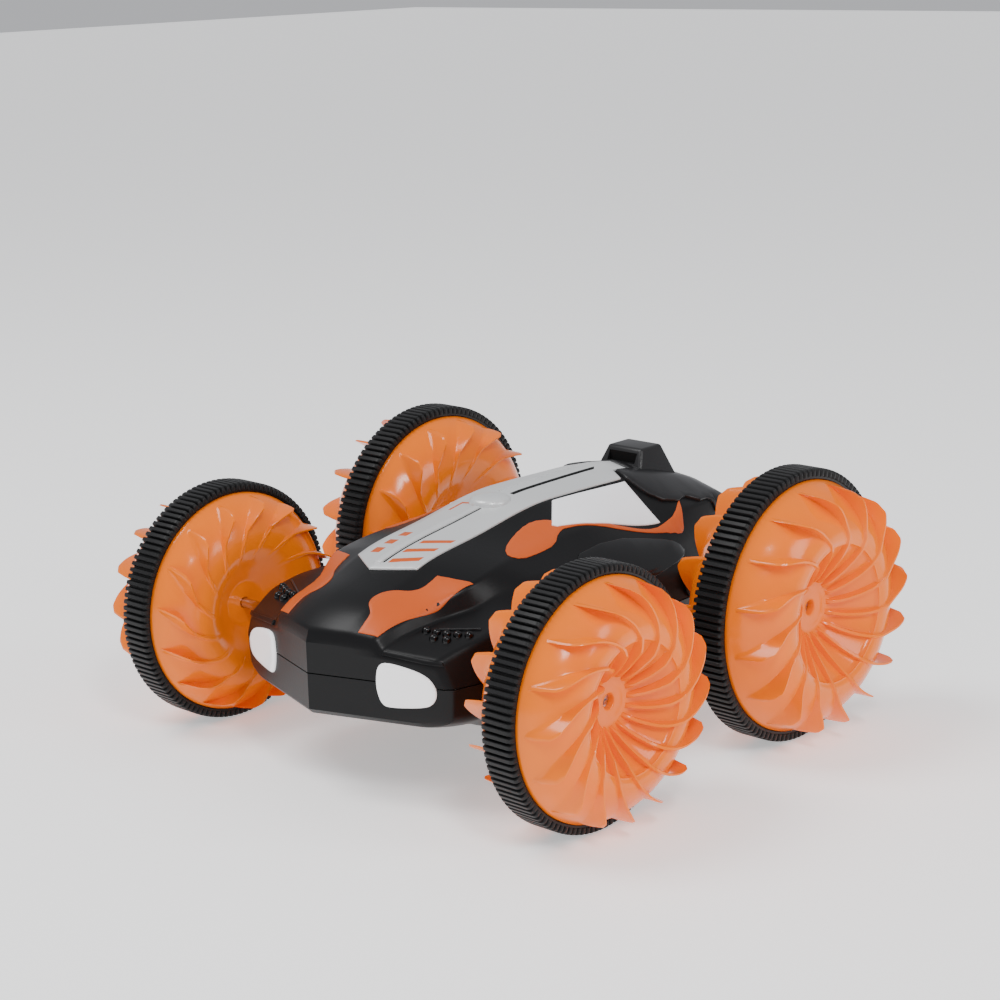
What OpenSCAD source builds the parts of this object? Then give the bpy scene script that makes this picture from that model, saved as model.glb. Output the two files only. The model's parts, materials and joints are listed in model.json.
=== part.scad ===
// Double-sided amphibious RC stunt car with four paddle wheels.
// +X is the car's left side, -Y its nose and +Z up. The tyres stand on z = 0.

/* [Wheels] */
// Outer radius of a front tyre
front_tyre_r = 49; // [48.5:0.1:49.5]
// Rim radius of a front wheel, where the tyre sits
front_rim_r = 45; // [44.6:0.1:45.4]
// Width of every tyre
tyre_w = 13.6; // [13:0.1:14]
// Distance from the car's middle to the middle of a tyre
half_track = 97.6; // [97:0.1:99]
// Number of tread lugs round a tyre
lug_count = 116; // [100:2:120]
// Number of paddle fins on each bowl
fin_count = 16; // [12:1:18]
// Thickness of a paddle fin
fin_t = 1.6; // [1.2:0.1:2]
// Wall of the moulded wheel bowls
bowl_wall = 1.6; // [1.4:0.1:2]

/* [Drive] */
// Teeth on a front axle gear
front_teeth = 28; // [28:1:28]
// Teeth on a rear axle gear, which also sets how much bigger the rear wheels are
rear_teeth = 31; // [31:1:31]
// Teeth on the idler next to each axle gear
end_idler_teeth = 31; // [31:1:31]
// Teeth on the middle idler, which the reduction gear drives
mid_idler_teeth = 30; // [30:1:30]
// Teeth on the small wheel of the reduction gear
small_teeth = 10; // [10:1:10]
// Teeth on the large wheel of the reduction gear
large_teeth = 40; // [40:1:40]
// Teeth on the motor pinion
pinion_teeth = 10; // [10:1:10]
// Diameter of a wheel axle
axle_d = 4; // [3.8:0.1:4.2]
// Diameter of a gear pin
pin_d = 2; // [1.8:0.1:2.2]

/* [Body] */
// Wall of the two body shells
shell_wall = 2; // [1.8:0.1:2.2]
// Height of the flat belly above the ground
belly_z = 19; // [18:0.5:20]
// Thickness of the trim panels that lie on the shells
trim_t = 0.9; // [0.7:0.1:1]
// Travel of the power switch
switch_travel = 4; // [3:0.5:4]

/* [Hidden] */
round_fn = 96;
small_fn = 40;

// Gear sizes: module, pressure angle and tooth heights
drive_m = 1;
fine_m = 0.5;
pressure_angle = 25;
addendum = 0.8;
dedendum = 1.05;
tooth_thinning = 0.07;

// The axle gears and their three idlers stand in one straight line
front_idler_d = drive_m * (front_teeth + end_idler_teeth) / 2;
mid_idler_d = front_idler_d + drive_m * (end_idler_teeth + mid_idler_teeth) / 2;
rear_idler_d = mid_idler_d + drive_m * (mid_idler_teeth + end_idler_teeth) / 2;
axle_distance = rear_idler_d + drive_m * (end_idler_teeth + rear_teeth) / 2;
rear_scale = rear_teeth / front_teeth;
rear_tyre_r = front_tyre_r * rear_scale;
axle_rise = rear_tyre_r - front_tyre_r;
wheelbase = sqrt(axle_distance * axle_distance - axle_rise * axle_rise);
train_angle = atan2(axle_rise, wheelbase);
front_y = -(wheelbase + axle_rise) / 2;
rear_y = front_y + wheelbase;
function train_point(d) = [front_y + d * cos(train_angle), front_tyre_r + d * sin(train_angle)];
front_axle = train_point(0);
front_idler = train_point(front_idler_d);
mid_idler = train_point(mid_idler_d);
rear_idler = train_point(rear_idler_d);
rear_axle = train_point(axle_distance);

// The reduction gear hangs below the middle idler, and the motor lies beside it
reduction_angle = -50;
motor_angle = 150;
function step_from(p, d, a) = [p[0] + d * cos(a), p[1] + d * sin(a)];
reduction_axis = step_from(mid_idler, drive_m * (mid_idler_teeth + small_teeth) / 2, reduction_angle);
motor_axis = step_from(reduction_axis, fine_m * (large_teeth + pinion_teeth) / 2, motor_angle);

// Angle of a tooth on the driven gear that meshes with a tooth at phase on the driving gear
function meshed(phase, n, n_next, a) = a + 180 - 180 / n_next - (phase - a) * n / n_next;
front_gear_phase = train_angle;
front_idler_phase = meshed(front_gear_phase, front_teeth, end_idler_teeth, train_angle);
mid_idler_phase = meshed(front_idler_phase, end_idler_teeth, mid_idler_teeth, train_angle);
rear_idler_phase = meshed(mid_idler_phase, mid_idler_teeth, end_idler_teeth, train_angle);
rear_gear_phase = meshed(rear_idler_phase, end_idler_teeth, rear_teeth, train_angle);
small_phase = meshed(mid_idler_phase, mid_idler_teeth, small_teeth, reduction_angle);
large_phase = motor_angle;
pinion_phase = meshed(large_phase, large_teeth, pinion_teeth, motor_angle);

// Places along X of the left gear train, from the middle of the car outwards
motor_x0 = 1;
motor_x1 = 26;
frame_in_x0 = 26.05;
frame_t = 1.5;
large_x0 = 28.2;
large_w = 2.4;
gear_x0 = 31.4;
gear_w = 4.6;
frame_out_x0 = 37;
pinion_x0 = 28;
pinion_w = 2.8;
axle_in_x = 24.5;

// Clearances
run_c = 0.05;
seat_c = 0.02;
axle_r = axle_d / 2;
pin_r = pin_d / 2;

// Body sections from nose to tail: [y, v, half outline from the spine down to the keel].
// A point stands v mm further back for each mm of its x, which makes the nose a V.
parting_z = front_tyre_r;
SECTIONS = [
  [-108.4, 0.33, [[0, 61], [14, 61], [25, 60.5], [28, 58.5], [49, 57], [53, 49], [51, 38], [44, 35], [0, 35]]],
  [-106.5, 0.33, [[0, 66], [15, 66], [26, 64.8], [29, 61], [51, 59.5], [56, 49], [55, 36], [46, 33], [0, 33]]],
  [-76, 0.1, [[0, 80.5], [16, 78], [31, 71.8], [33, 66.3], [56, 65], [59, 49], [58, 35], [48, 29], [0, 27]]],
  [-56, 0, [[0, 86], [16, 84], [37, 78.4], [40, 70], [55, 67], [57, 49], [55, 33], [45, 23], [0, 22]]],
  [-35, 0, [[0, 89.5], [16, 87.2], [35, 82], [44, 76], [52, 64], [54, 49], [52, 32], [42, 19], [0, 19]]],
  [10, 0, [[0, 95.5], [16, 93.6], [33, 84], [43, 74], [51, 62], [53, 49], [51, 32], [42, 19], [0, 19]]],
  [56, 0, [[0, 96.6], [16, 93], [34, 76], [42, 68], [48, 60], [51, 49], [48, 33], [40, 19], [0, 19]]],
  [78, 0, [[0, 92], [15, 90], [33, 79], [37, 66], [42, 58], [45, 49], [43, 36], [36, 24], [0, 22]]],
  [98, 0, [[0, 86], [14, 84.5], [31, 79], [33, 68], [35, 58], [35, 49], [34, 40], [29, 32], [0, 29]]],
  [106, 0, [[0, 83], [13, 81.5], [29, 77], [30, 68], [31, 58], [31, 49], [30, 42], [26, 36], [0, 34]]]];
BELT = 5;
POINTS = len(SECTIONS[0][2]);
RING = 2 * POINTS - 2;

// One section's y, moved inwards at the two ends by t
function section_y(s, t) = SECTIONS[s][0] + (s == 0 ? t * 1.1 : s == len(SECTIONS) - 1 ? -t : 0);
// One outline point moved inwards by t
function inset_x(p, t) = p[0] == 0 ? 0 : p[0] - t;
function inset_z(p, i, t) = i < BELT ? p[1] - t : i > BELT ? p[1] + t : p[1];
function ring_point(s, i, side, t) =
  let (p = SECTIONS[s][2][i], x = inset_x(p, t))
  [side * x, section_y(s, t) + SECTIONS[s][1] * x, inset_z(p, i, t)];
function ring(s, t) = concat(
  [for (i = [0:POINTS - 1]) ring_point(s, i, 1, t)],
  [for (i = [POINTS - 2:-1:1]) ring_point(s, i, -1, t)]);
// Points down the keel of the nose
function keel(t) =
  let (top = ring_point(0, 0, 1, t)[2], low = ring_point(0, POINTS - 1, 1, t)[2])
  [for (i = [1:POINTS - 2]) [0, section_y(0, t), top + (low - top) * i / (POINTS - 1)]];
function keel_index(i) = i == 0 ? 0 : i == POINTS - 1 ? i : len(SECTIONS) * RING + i - 1;
function left_index(i) = i == 0 ? 0 : i == POINTS - 1 ? i : RING - i;

// The body's closed form, moved inwards by t (or outwards when t is negative)
module body_form(t) {
  last = len(SECTIONS) - 1;
  points = concat([for (s = [0:last]) each ring(s, t)], keel(t));
  skin = [for (s = [0:last - 1]) for (k = [0:RING - 1])
    let (a = s * RING + k, b = s * RING + (k + 1) % RING)
    each k < RING / 2 ? [[a, a + RING, b + RING], [a, b + RING, b]] : [[a, a + RING, b], [a + RING, b + RING, b]]];
  nose_left = [for (i = [0:POINTS - 2]) each
    [[keel_index(i), i, i + 1], [keel_index(i), i + 1, keel_index(i + 1)]]];
  nose_right = [for (i = [0:POINTS - 2]) each
    [[left_index(i), keel_index(i), keel_index(i + 1)], [left_index(i), keel_index(i + 1), left_index(i + 1)]]];
  tail = [[for (k = [RING - 1:-1:0]) last * RING + k]];
  all_faces = concat(skin, nose_left, nose_right, tail);
  polyhedron(points, [for (f = all_faces) if (f[0] != f[1] && f[1] != f[2] && f[2] != f[0]) f], 6);
}

// A thin panel that lies on the body within the given outline
module skin_panel(t) {
  intersection() {
    difference() {
      body_form(-t);
      body_form(-seat_c);
    }
    children();
  }
}

// Screw wells that hold the two shells together: [x, y]
SHELL_SCREWS = [[46, -80], [-46, -80], [24, 86], [-24, 86]];
well_r = 4.5;
head_r = 2.8;
screw_r = 1.3;
head_z = 42;
thread_top_z = 56;

// Axle bosses on the shells, from the inside out
boss_r = 6.5;
bush_r = 4;
boss_in = [50, 41.6];
boss_out = [60.5, 52];
seal_w = 2;
bush_w = 4;

module along_x(x0, x1, r, fn = small_fn) translate([x0, 0, 0]) rotate([0, 90, 0]) cylinder(h = x1 - x0, r = r, $fn = fn);
module at_axis(p) translate([0, p[0], p[1]]) children();
module both_sides() {
  children();
  mirror([1, 0, 0]) children();
}

// ---------------------------------------------------------------- wheels

// Everything on a wheel is drawn with +Z outwards and z = 0 at the middle of the tyre
module on_wheel(p, side) mirror([side > 0 ? 0 : 1, 0, 0]) translate([half_track, p[0], p[1]]) rotate([0, 90, 0])
  children();
face_z = tyre_w / 2;
hub_r = 5;

lug_h = 2;
function lug_point(r, i, f) = let (a = 360 * (i + f) / lug_count) [r * cos(a), r * sin(a)];
module tyre(k) {
  outer_r = front_tyre_r * k;
  color("#1c1c1e") difference() {
    linear_extrude(tyre_w, center = true) polygon([for (i = [0:lug_count - 1]) each [
      lug_point(outer_r - lug_h, i, 0), lug_point(outer_r - lug_h, i, 0.32),
      lug_point(outer_r, i, 0.42), lug_point(outer_r, i, 0.9)]]);
    cylinder(h = tyre_w + 2, r = front_rim_r * k + run_c, center = true, $fn = round_fn);
  }
}

// Outer curves of the bowls as [radius, height above the tyre's face] for a front wheel
OUTER_CURVE = [[hub_r, 2.8], [8, 2.8], [12, 4.2], [18, 9], [23, 14], [25.5, 15.6], [28.5, 16], [33, 14.6],
  [38, 11], [42, 6], [44.4, 1.4]];
INNER_CURVE = [[hub_r, 3], [9, 4], [15, 7.5], [21, 11.4], [25, 13.1], [28.5, 13.5], [33, 12.3], [38, 9.4],
  [42, 5.2], [44.4, 1.4]];
// Top edges of the fins
PADDLE_TOP = [[9.4, 4.9], [14, 9.3], [20, 14.8], [26, 17.6], [32, 17.8], [38, 17.2], [41.2, 16], [42.8, 13.4],
  [43.6, 8], [43.9, 3]];
PETAL_TOP = [[9.3, 4.8], [14, 8.6], [20, 13.6], [24.3, 17.1], [28.1, 17.7], [32.4, 17.3], [37, 17.6], [40.4, 17.2],
  [42.7, 13.6], [43.5, 8], [43.8, 3]];
INNER_TOP = [[22, 12.4], [28.5, 14.4], [33, 14], [37, 15.2], [40.5, 15.6], [42.8, 13], [43.6, 7], [43.9, 3]];

function rim_share(r) = pow(r / front_rim_r, 5);
function inside_of(p) = [p[0] - bowl_wall * rim_share(p[0]), p[1] - bowl_wall * (1 - 0.5 * rim_share(p[0]))];
function on_face(p, k) = [p[0] * k, face_z + p[1] * k];

module bowl_skin(curve, k) {
  rim = front_rim_r * k;
  rotate_extrude($fn = round_fn) polygon(concat(
    [for (p = curve) on_face(p, k)],
    [[rim, face_z], [rim, run_c], [rim - bowl_wall, run_c]],
    [for (i = [len(curve) - 1:-1:0]) on_face(inside_of(curve[i]), k)]));
}

// A fin's curved plan: it leans forwards from the hub to the rim
fin_steps = 8;
fin_run_in = 3;
function fin_angle(r, r0, r1, sweep) = sweep * pow(max(0, (r - r0) / (r1 - r0)), 1.2);
function fin_edge(r, r0, r1, sweep, side) =
  let (a = fin_angle(r, r0, r1, sweep) + side * fin_t / 2 / r * 180 / PI) [r * cos(a), r * sin(a)];
module fin_plan(r0, r1, sweep) {
  first_r = r0 - fin_run_in;
  radii = [for (i = [0:fin_steps]) first_r + (r1 - first_r) * i / fin_steps];
  polygon(concat([for (r = radii) fin_edge(r, r0, r1, sweep, -1)],
    [for (i = [fin_steps:-1:0]) fin_edge(radii[i], r0, r1, sweep, 1)]));
}
module fins(curve, top, sweep, k) {
  r0 = top[0][0] * k;
  r1 = front_rim_r * k;
  base = [for (i = [len(curve) - 1:-1:0]) if (curve[i][0] >= top[0][0] - fin_run_in) on_face(curve[i], k) - [0, 0.9]];
  intersection() {
    rotate_extrude($fn = round_fn) polygon(concat([for (p = top) on_face(p, k)], base));
    for (i = [0:fin_count - 1]) rotate([0, 0, 360 * i / fin_count]) linear_extrude(60) fin_plan(r0, r1, sweep);
  }
}

// The hub: a tube on the axle's end, with a wider mouth for the screw in the outer bowl
axle_end_z = 4.4;
screw_seat_z = 5.2;
mouth_r = 2.8;
hub_split_z = -2;
paddle_sweep = 48;
petal_sweep = 34;
module outer_bowl(top, sweep, k) {
  color("#ff6a1a") difference() {
    union() {
      bowl_skin(OUTER_CURVE, k);
      fins(OUTER_CURVE, top, sweep, k);
      translate([0, 0, hub_split_z + run_c]) cylinder(h = face_z + 2.8 * k - hub_split_z - run_c, r = hub_r * k + 0.2,
        $fn = small_fn);
    }
    translate([0, 0, hub_split_z - 1]) cylinder(h = axle_end_z - hub_split_z + 1.1, r = axle_r + seat_c,
      $fn = small_fn);
    translate([0, 0, hub_split_z]) cylinder(h = 12, r = 1.2, $fn = small_fn);
    translate([0, 0, screw_seat_z]) cylinder(h = 20, r = mouth_r, $fn = small_fn);
  }
}
module inner_bowl(k) {
  color("#ff6a1a") rotate([180, 0, 0]) difference() {
    union() {
      bowl_skin(INNER_CURVE, k);
      fins(INNER_CURVE, INNER_TOP, petal_sweep, k);
      translate([0, 0, -hub_split_z + run_c]) cylinder(h = face_z + 3 * k + hub_split_z - run_c, r = hub_r * k + 0.2,
        $fn = small_fn);
    }
    translate([0, 0, -1]) cylinder(h = 30, r = axle_r + seat_c, $fn = small_fn);
  }
}
module axle() {
  color("silver") difference() {
    translate([0, 0, axle_in_x - half_track]) cylinder(h = half_track - axle_in_x + axle_end_z, r = axle_r,
      $fn = small_fn);
    translate([0, 0, axle_end_z - 7]) cylinder(h = 8, r = 1.05, $fn = small_fn);
  }
}
module wheel_screw() {
  color("silver") difference() {
    union() {
      translate([0, 0, screw_seat_z + run_c]) cylinder(h = 1.8, r = mouth_r - 0.2, $fn = small_fn);
      translate([0, 0, axle_end_z - 6]) cylinder(h = screw_seat_z - axle_end_z + 7, r = 1, $fn = small_fn);
    }
    for (a = [0, 90]) translate([0, 0, screw_seat_z + 2]) rotate([0, 0, a]) cube([3.4, 0.7, 1.8], center = true);
  }
}

// ---------------------------------------------------------------- gears

function involute(a) = tan(a) * 180 / PI - a;
// Half the tooth's angle at radius r
function half_tooth(r, n, m) =
  let (pitch_r = n * m / 2, base_r = pitch_r * cos(pressure_angle), rr = max(r, base_r))
  90 / n * (1 - tooth_thinning) + involute(pressure_angle) - involute(acos(base_r / rr));
function tooth_side(n, m, phase, side) = [for (h = [-dedendum, -0.4, 0, 0.45, addendum])
  let (r = n * m / 2 + h * m, a = phase + side * half_tooth(r, n, m)) [r * cos(a), r * sin(a)]];
function reversed(list) = [for (i = [len(list) - 1:-1:0]) list[i]];
// A spur gear in the Y-Z plane: its first tooth points at phase, from +Y towards +Z
module gear(n, m, w, phase, bore_r) {
  rotate([90, 0, 90]) difference() {
    linear_extrude(w) polygon([for (i = [0:n - 1]) each concat(
      tooth_side(n, m, phase + 360 * i / n, -1), reversed(tooth_side(n, m, phase + 360 * i / n, 1)))]);
    translate([0, 0, -1]) cylinder(h = w + 2, r = bore_r, $fn = small_fn);
  }
}
module drive_gear(n, phase, bore_r) color("ivory") translate([gear_x0, 0, 0]) gear(n, drive_m, gear_w, phase, bore_r);
module idler(p, n, phase) at_axis(p) drive_gear(n, phase, pin_r + run_c);
module reduction_gear() {
  color("ivory") at_axis(reduction_axis) {
    difference() {
      union() {
        translate([gear_x0 - 0.4, 0, 0]) gear(small_teeth, drive_m, gear_w + 0.4, small_phase, pin_r + run_c);
        translate([large_x0, 0, 0]) gear(large_teeth, fine_m, large_w, large_phase, pin_r + run_c);
        along_x(large_x0, gear_x0, 3);
      }
      along_x(large_x0 - 1, gear_x0 + gear_w + 1, pin_r + run_c);
    }
  }
}
module motor_pinion() {
  color("gold") at_axis(motor_axis) translate([pinion_x0, 0, 0])
    gear(pinion_teeth, fine_m, pinion_w, pinion_phase, pin_r * 0.75 + seat_c);
}
module motor_shaft() color("silver") at_axis(motor_axis) along_x(motor_x0 - 0.5, pinion_x0 + pinion_w, pin_r * 0.75);

// ---------------------------------------------------------------- frame and drive housings

plate_half = 13;
plate_end = 7;
post_offset = 11.5;
module frame_plan() {
  translate(front_axle) rotate([0, 0, train_angle]) {
    translate([-plate_end, -plate_end]) square([axle_distance + 2 * plate_end, 2 * plate_end]);
    translate([8, -plate_half]) square([axle_distance - 20, 2 * plate_half]);
  }
  translate(motor_axis) circle(r = 11, $fn = small_fn);
  translate(reduction_axis) circle(r = 8, $fn = small_fn);
}
FOOT_Y = [-30, 36];
module frame_plate(x0, motor_hole_r, feet) {
  translate([x0, 0, 0]) rotate([90, 0, 90]) linear_extrude(frame_t) difference() {
    union() {
      frame_plan();
      if (feet) for (y = FOOT_Y) translate([y, belly_z + shell_wall + seat_c]) square([8, 24]);
    }
    for (p = [front_axle, rear_axle]) translate(p) circle(r = axle_r + run_c, $fn = small_fn);
    for (p = [front_idler, mid_idler, rear_idler, reduction_axis]) translate(p)
      circle(r = pin_r + seat_c, $fn = small_fn);
    translate(motor_axis) circle(r = motor_hole_r, $fn = small_fn);
  }
}
module gear_frame() {
  color("dimgray") {
    frame_plate(frame_in_x0, 3.2, true);
    frame_plate(frame_out_x0, 2.2, false);
    for (d = [front_idler_d / 2, (front_idler_d + mid_idler_d) / 2, (mid_idler_d + rear_idler_d) / 2,
      (rear_idler_d + axle_distance) / 2]) at_axis(train_point(d)) rotate([train_angle, 0, 0])
      translate([0, 0, post_offset]) along_x(frame_in_x0 + 1, frame_out_x0 + 0.5, 1.5);
  }
}
module gear_pins() color("silver") both_sides() for (p = [front_idler, mid_idler, rear_idler, reduction_axis])
  at_axis(p) along_x(frame_in_x0 - 0.5, frame_out_x0 + frame_t + 0.5, pin_r);

can_r = 10;
can_flat = 15.4;
module motor_can() {
  color("lightgray") at_axis(motor_axis) difference() {
    union() {
      intersection() {
        along_x(motor_x0, motor_x1, can_r);
        translate([0, -can_r, -can_flat / 2]) cube([motor_x1, 2 * can_r, can_flat]);
      }
      along_x(motor_x1 - 1, motor_x1 + 1.4, 3);
    }
    along_x(motor_x0 - 1, motor_x1 + 2, pin_r * 0.75 + run_c);
  }
}

// ---------------------------------------------------------------- body shells

module axle_boss_solids() both_sides() {
  at_axis(front_axle) along_x(boss_in[0], boss_out[0], boss_r);
  at_axis(rear_axle) along_x(boss_in[1], boss_out[1], boss_r);
}
module axle_boss_bores() both_sides() {
  at_axis(front_axle) along_x(boss_in[0] - 1, boss_out[0] + 1, bush_r + seat_c);
  at_axis(rear_axle) along_x(boss_in[1] - 0.01, boss_out[1] + 1, bush_r + seat_c);
}
module axle_bush(x1) along_ring(x1 - bush_w, x1);
module along_ring(x0, x1) difference() {
  along_x(x0, x1, bush_r);
  along_x(x0 - 1, x1 + 1, axle_r + run_c);
}
module axle_bushes() color("goldenrod") both_sides() {
  at_axis(front_axle) axle_bush(boss_out[0]);
  at_axis(rear_axle) axle_bush(boss_out[1]);
}
module axle_seals() color("#222222") both_sides() {
  at_axis(front_axle) along_ring(boss_out[0] - bush_w - seal_w, boss_out[0] - bush_w - seat_c);
  at_axis(rear_axle) along_ring(boss_out[1] - bush_w - seal_w, boss_out[1] - bush_w - seat_c);
}

// The battery door and the switch slot in the flat belly
door_x = 18;
door_y = [3, 55];
door_screw_y = 51;
switch_y = -22;
slot_x = 2.2;
slot_half = 3.4 + switch_travel / 2;
cell_r = 8.2;
cell_len = 34;
cell_y = 10.5;
cell_gap = 2.2;

// Posts that carry the control board, and the tongue that takes the door's screw
BOARD_POSTS = [[18, -61], [-18, -61], [18, -21], [-18, -21]];
board_z = 58;
post_r = 2;
tongue_z = belly_z + 3.6;
module door_tongue() {
  translate([-5, door_screw_y - 4.5, tongue_z]) cube([10, 12, 4.4]);
  translate([-5, door_y[1] + 0.3, belly_z + 1]) cube([10, 3.2, 3]);
}

// Pockets in the upper shell that clear the rear axle gears
rear_gear_r = drive_m * (rear_teeth / 2 + addendum);
pocket_c = 0.6;

module upper_shell() {
  color("#202022") difference() {
    union() {
      intersection() {
        difference() {
          body_form(0);
          body_form(shell_wall);
        }
        translate([-100, -150, parting_z]) cube([200, 300, 100]);
      }
      intersection() {
        axle_boss_solids();
        translate([-100, -150, parting_z]) cube([200, 300, 100]);
      }
      intersection() {
        for (p = SHELL_SCREWS) translate([p[0], p[1], parting_z]) cylinder(h = 60, r = well_r - 1, $fn = small_fn);
        body_form(1);
      }
    }
    axle_boss_bores();
    both_sides() at_axis(rear_axle) along_x(gear_x0 - 1, gear_x0 + gear_w + pocket_c, rear_gear_r + pocket_c,
      round_fn);
    for (p = SHELL_SCREWS) translate([p[0], p[1], parting_z - 1]) cylinder(h = thread_top_z - parting_z + 1.5,
      r = screw_r + seat_c, $fn = small_fn);
  }
}
module lower_shell() {
  color("#202022") difference() {
    union() {
      intersection() {
        difference() {
          body_form(0);
          body_form(shell_wall);
        }
        translate([-100, -150, parting_z - 100 - seat_c]) cube([200, 300, 100]);
      }
      intersection() {
        axle_boss_solids();
        translate([-100, -150, parting_z - 100 - seat_c]) cube([200, 300, 100]);
      }
      intersection() {
        union() {
          for (p = SHELL_SCREWS) translate([p[0], p[1], 0]) cylinder(h = parting_z - seat_c, r = well_r, $fn = small_fn);
          for (p = BOARD_POSTS) translate([p[0], p[1], 0]) cylinder(h = board_z - seat_c, r = post_r, $fn = small_fn);
        }
        body_form(0.5);
      }
      door_tongue();
    }
    axle_boss_bores();
    for (p = SHELL_SCREWS) translate([p[0], p[1], 0]) {
      cylinder(h = head_z, r = head_r + 0.3, $fn = small_fn);
      cylinder(h = parting_z + 1, r = screw_r + 0.2, $fn = small_fn);
    }
    translate([-door_x, door_y[0], belly_z - 1]) cube([2 * door_x, door_y[1] - door_y[0], shell_wall + 2]);
    translate([-slot_x, switch_y - slot_half, belly_z - 1]) cube([2 * slot_x, 2 * slot_half, shell_wall + 2]);
    translate([0, door_screw_y, tongue_z - 1]) cylinder(h = 8, r = screw_r + seat_c, $fn = small_fn);
  }
}

// The gasket follows the inside of the shells at the parting
function belt_point(s, side, t) = let (x = SECTIONS[s][2][BELT][0] - t)
  [side * x, section_y(s, t) + SECTIONS[s][1] * x];
module belt_plan(t) polygon(concat([[0, section_y(0, t)]], [for (s = [0:len(SECTIONS) - 1]) belt_point(s, 1, t)],
  [for (s = [len(SECTIONS) - 1:-1:0]) belt_point(s, -1, t)]));
gasket_w = 1.2;
gasket_h = 1.2;
gasket_c = 0.45;
module shell_gasket() {
  color("#333333") difference() {
    translate([0, 0, parting_z - gasket_h / 2]) linear_extrude(gasket_h) difference() {
      belt_plan(shell_wall + gasket_c);
      belt_plan(shell_wall + gasket_c + gasket_w);
    }
    both_sides() {
      at_axis(front_axle) along_x(40, 70, boss_r + 0.1);
      at_axis(rear_axle) along_x(30, 70, boss_r + 0.1);
    }
    for (p = SHELL_SCREWS) translate([p[0], p[1], parting_z - 5]) cylinder(h = 10, r = well_r + 0.1, $fn = small_fn);
  }
}

// Trim on the upper shell. Plans are looked at from above.
spine_x = 16;
SPINE = [[0, -75], [spine_x, -65], [spine_x, 54], [9, 57], [9, 66], [-9, 66], [-9, 57], [-spine_x, 54],
  [-spine_x, -65]];
boss_y = -7.6;
boss_plate_r = 8.6;
boss_plate_z = 96.4;
module spine_panel() {
  color("silver") difference() {
    union() {
      skin_panel(trim_t) translate([0, 0, parting_z]) linear_extrude(80) polygon(SPINE);
      translate([0, boss_y, boss_plate_z - 4]) cylinder(h = 4, r = boss_plate_r, $fn = small_fn);
    }
    body_form(-seat_c);
  }
}
WINDOW = [[17.2, 8], [17.2, 53], [33.5, 57], [33, 40], [32.2, 10], [30, -3]];
module window_panel() skin_panel(trim_t) translate([0, 0, 70]) linear_extrude(40) polygon(WINDOW);
module window_left() color("white") window_panel();
module window_right() color("white") mirror([1, 0, 0]) window_panel();

// The rear cowl has a waved lower edge, drawn here from the side as [y, z]
COWL = [[58, 110], [60, 91], [66, 84], [72, 80], [80, 82], [86, 77], [93, 71], [100, 73], [112, 70], [112, 110]];
module rear_cowl() {
  color("#2a2a2c") difference() {
    skin_panel(trim_t + 0.6) rotate([90, 0, 90]) linear_extrude(100, center = true) polygon(COWL);
    translate([0, 0, parting_z]) linear_extrude(80) polygon([for (p = SPINE) [p[0] * 1.03, p[1] + 0.3]]);
    both_sides() translate([0, 0, 70]) linear_extrude(60) polygon([for (p = WINDOW) [p[0], p[1] + 0.4]]);
  }
}
module roof_scoop() {
  color("#232325") difference() {
    hull() {
      translate([-14, 68, 84]) cube([28, 28, 6]);
      translate([-9, 76, 99]) cube([18, 13, 1.5]);
    }
    body_form(-trim_t - 0.65);
    translate([-7, 60, 93.5]) cube([14, 24, 4.5]);
  }
}

// Headlight lens, drawn from the front as [x, z]
LENS = [[28, 55.5], [31, 57], [40, 55.4], [46, 53.6], [49.5, 50.6], [50.6, 47], [49.4, 43.4], [46, 41.2], [32, 39.6],
  [29.2, 41], [27.4, 45], [27, 50]];
module lens_panel() skin_panel(trim_t) translate([0, -80, 0]) rotate([90, 0, 0]) linear_extrude(40) polygon(LENS);
module headlight_left() color("white") lens_panel();
module headlight_right() color("white") mirror([1, 0, 0]) lens_panel();

// ---------------------------------------------------------------- inside the body

module led_boards() color("darkgreen") both_sides() translate([38, -87, 48]) rotate([0, 0, 16]) {
  translate([-8, 0, -5]) cube([14, 1.2, 10]);
  for (x = [-5, 3]) translate([x, 0.2, 0]) rotate([90, 0, 0]) cylinder(h = 4, r = 1.5, $fn = small_fn);
}
module battery_cells() color("royalblue") both_sides()
  translate([cell_r + 0.3, cell_y, belly_z + shell_wall + cell_r + cell_gap])
  rotate([-90, 0, 0]) cylinder(h = cell_len, r = cell_r, $fn = small_fn);
module battery_door() {
  color("#262628") difference() {
    union() {
      translate([-door_x + 0.15, door_y[0] + 0.15, belly_z])
        cube([2 * door_x - 0.3, door_y[1] - door_y[0] - 0.3, shell_wall]);
      translate([-door_x + 4, door_y[0] + 4, belly_z + shell_wall - 0.1])
        cube([2 * door_x - 8, door_y[1] - door_y[0] - 15, 1]);
    }
    translate([0, door_screw_y, belly_z - 1]) cylinder(h = 2, r = head_r + 0.2, $fn = small_fn);
    translate([0, door_screw_y, belly_z - 1]) cylinder(h = 6, r = screw_r + 0.1, $fn = small_fn);
  }
}
module door_seal() {
  color("#444444") difference() {
    translate([-door_x + 0.6, door_y[0] + 0.6, belly_z + shell_wall + seat_c])
      cube([2 * door_x - 1.2, door_y[1] - door_y[0] - 1.2, 1.4]);
    translate([-door_x + 3.8, door_y[0] + 3.8, belly_z]) cube([2 * door_x - 7.6, door_y[1] - door_y[0] - 14.6, 6]);
    translate([0, door_screw_y, belly_z]) cylinder(h = 9, r = screw_r + 0.3, $fn = small_fn);
  }
}
module control_board() {
  color("green") {
    translate([-21, -64, board_z]) cube([42, 46, 1.6]);
    translate([-9, -52, board_z + 1.5]) cube([12, 10, 2]);
    translate([8, -40, board_z + 1.5]) cube([8, 8, 1.6]);
    translate([-16, -34, board_z + 1.5]) cube([7, 9, 3]);
    for (x = [-12, 12]) translate([x, -26, board_z + 1.5]) cylinder(h = 6, r = 3, $fn = small_fn);
  }
}
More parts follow.
